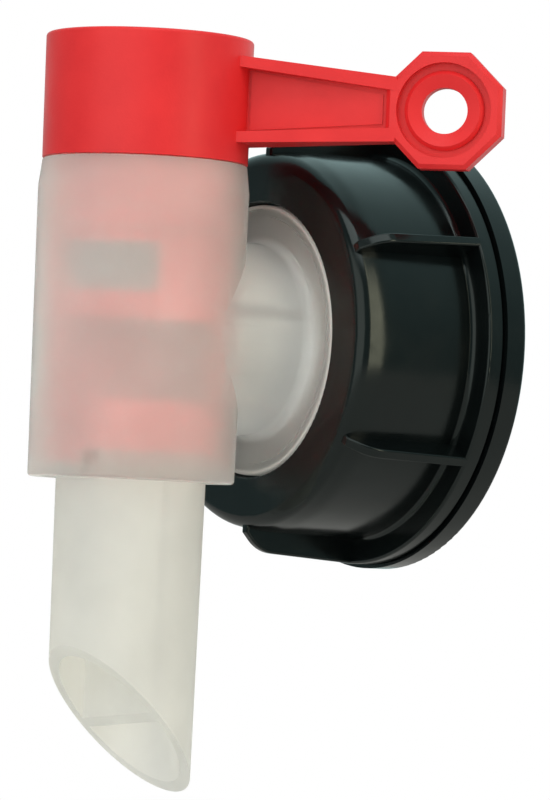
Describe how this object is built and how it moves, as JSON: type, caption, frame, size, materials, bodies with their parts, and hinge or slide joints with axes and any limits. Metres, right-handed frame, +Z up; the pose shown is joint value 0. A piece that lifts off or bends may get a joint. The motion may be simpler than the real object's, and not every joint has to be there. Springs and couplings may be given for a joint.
{
  "type": "bag in box tap",
  "caption": "Dispensing tap with a lever plug in an upright barrel, a slant-cut spout and a vaned union cap for a container's neck.",
  "frame": {"origin": "on the axis of the neck and of the container thread, on the gasket face that the container's rim seats on", "axes": "+Y along the neck towards the container, +Z up along the barrel's axis, +X to the side that the closed lever leans to"},
  "size_m": [0.08, 0.0691, 0.1233],
  "materials": {
    "natural_polyethylene": "translucent natural polyethylene, satin",
    "gasket_foam": "white foamed gasket sheet",
    "black_polyethylene": "glossy black moulding",
    "red_polyethylene": "satin red moulding"
  },
  "bodies": {
    "tap": {"tap_body": "natural_polyethylene", "sealing_flange": "natural_polyethylene", "container_gasket": "gasket_foam"},
    "plug": {"turning_plug": "red_polyethylene"},
    "cap": {"screw_cap": "black_polyethylene"}
  },
  "joints": [
    {"name": "lever_turn", "type": "hinge", "parent": "tap", "child": "plug", "pos_m": [0, -0.0334, 0], "axis": [0, 0, 1], "range_deg": [-90, 0]},
    {"name": "cap_spin", "type": "hinge", "parent": "tap", "child": "cap", "pos_m": [0, 0, 0], "axis": [0, 1, 0], "continuous": true}
  ]
}
